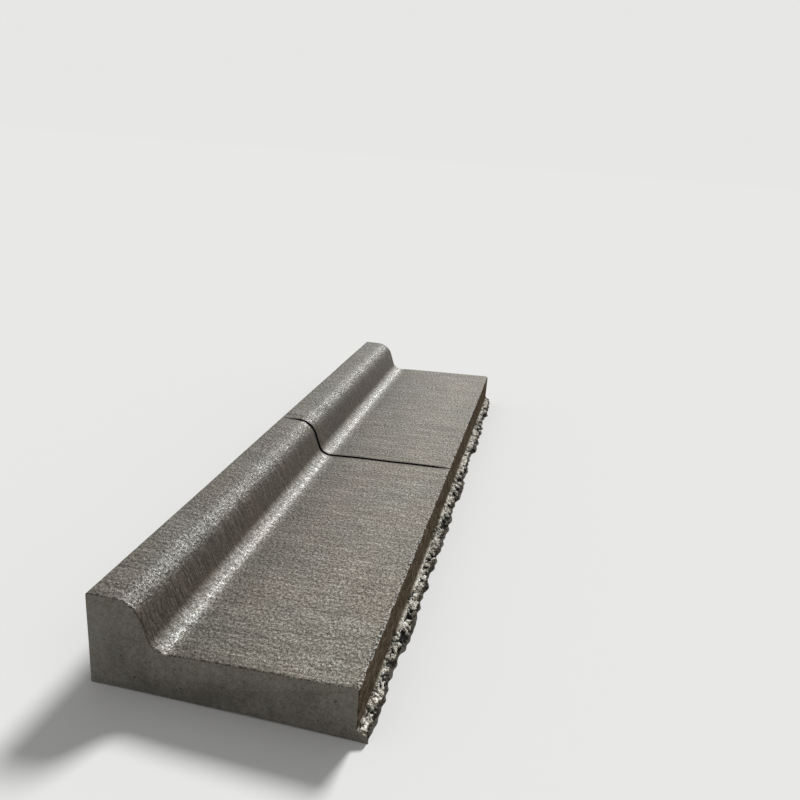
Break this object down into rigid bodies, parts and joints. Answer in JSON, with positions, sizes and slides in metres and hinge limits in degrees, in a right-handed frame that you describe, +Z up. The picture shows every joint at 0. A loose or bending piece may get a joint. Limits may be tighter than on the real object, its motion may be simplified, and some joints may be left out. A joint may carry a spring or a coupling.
{
  "type": "concrete kerb and gutter",
  "caption": "Slip-formed concrete kerb and gutter length: rounded kerb head, sloped gutter pan with a tooled joint across it, and a rough foot along the lip.",
  "frame": {"origin": "middle of the underside, with the foot counted in the width", "axes": "+X from the back of the kerb to the lip of the gutter, +Y along the kerb, +Z up"},
  "size_m": [0.863, 3.048, 0.304],
  "materials": {
    "fresh_concrete": "damp, brushed across, cast a few days ago or less"
  },
  "bodies": {
    "root": {"kerb_and_gutter": "fresh_concrete"}
  },
  "joints": []
}
